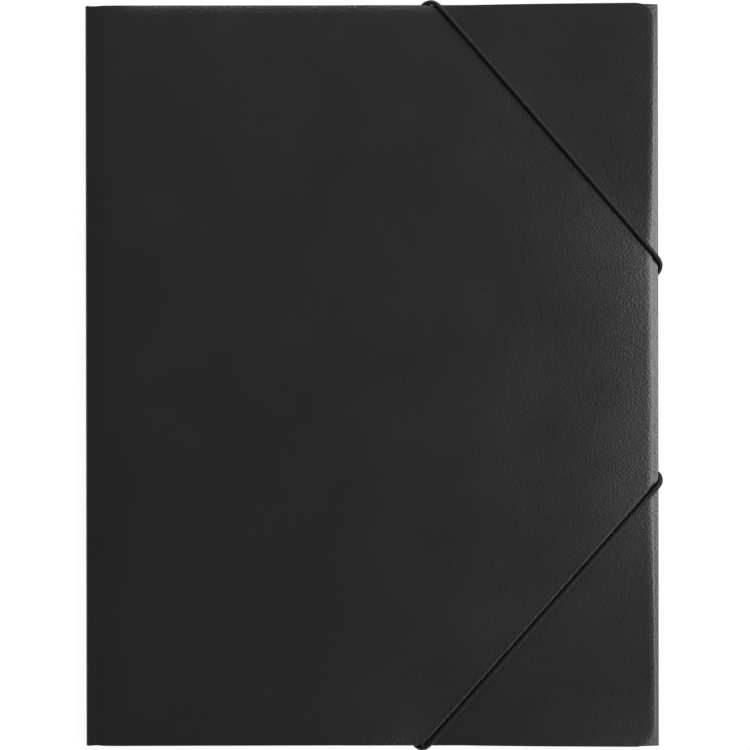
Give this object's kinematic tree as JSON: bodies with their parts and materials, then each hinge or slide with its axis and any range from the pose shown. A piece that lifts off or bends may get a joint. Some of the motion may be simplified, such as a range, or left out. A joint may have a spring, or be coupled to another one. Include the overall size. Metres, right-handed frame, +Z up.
{
  "type": "three flap folder",
  "caption": "Portrait document folder of embossed plastic sheet: back with three inner flaps, hinged cover, and an elastic cord across each fore-edge corner.",
  "frame": {"origin": "On the surface that the folder lies on, under the middle of its whole width and height, cords included.", "axes": "+X from the spine to the fore-edge, +Y from the bottom edge to the top edge, +Z up out of the front cover."},
  "size_m": [0.2456, 0.3197, 0.0103],
  "materials": {
    "sheet": "black polypropylene sheet with a fine sand embossing, softly glossy",
    "elastic": "braided round elastic cord, black with an olive cast",
    "barb": "crimped steel strip"
  },
  "bodies": {
    "back": {"folder_back": "sheet", "upper_elastic": "elastic", "lower_elastic": "elastic", "upper_elastic_end_barb": "barb", "upper_elastic_side_barb": "barb", "lower_elastic_end_barb": "barb", "lower_elastic_side_barb": "barb"},
    "cover": {"front_cover": "sheet"}
  },
  "joints": [
    {"name": "cover_hinge", "type": "hinge", "parent": "back", "child": "cover", "pos_m": [-0.1228, 0, 0.00347], "axis": [0, -1, 0], "range_deg": [0, 178], "deforming": ["upper_elastic", "lower_elastic"]}
  ]
}
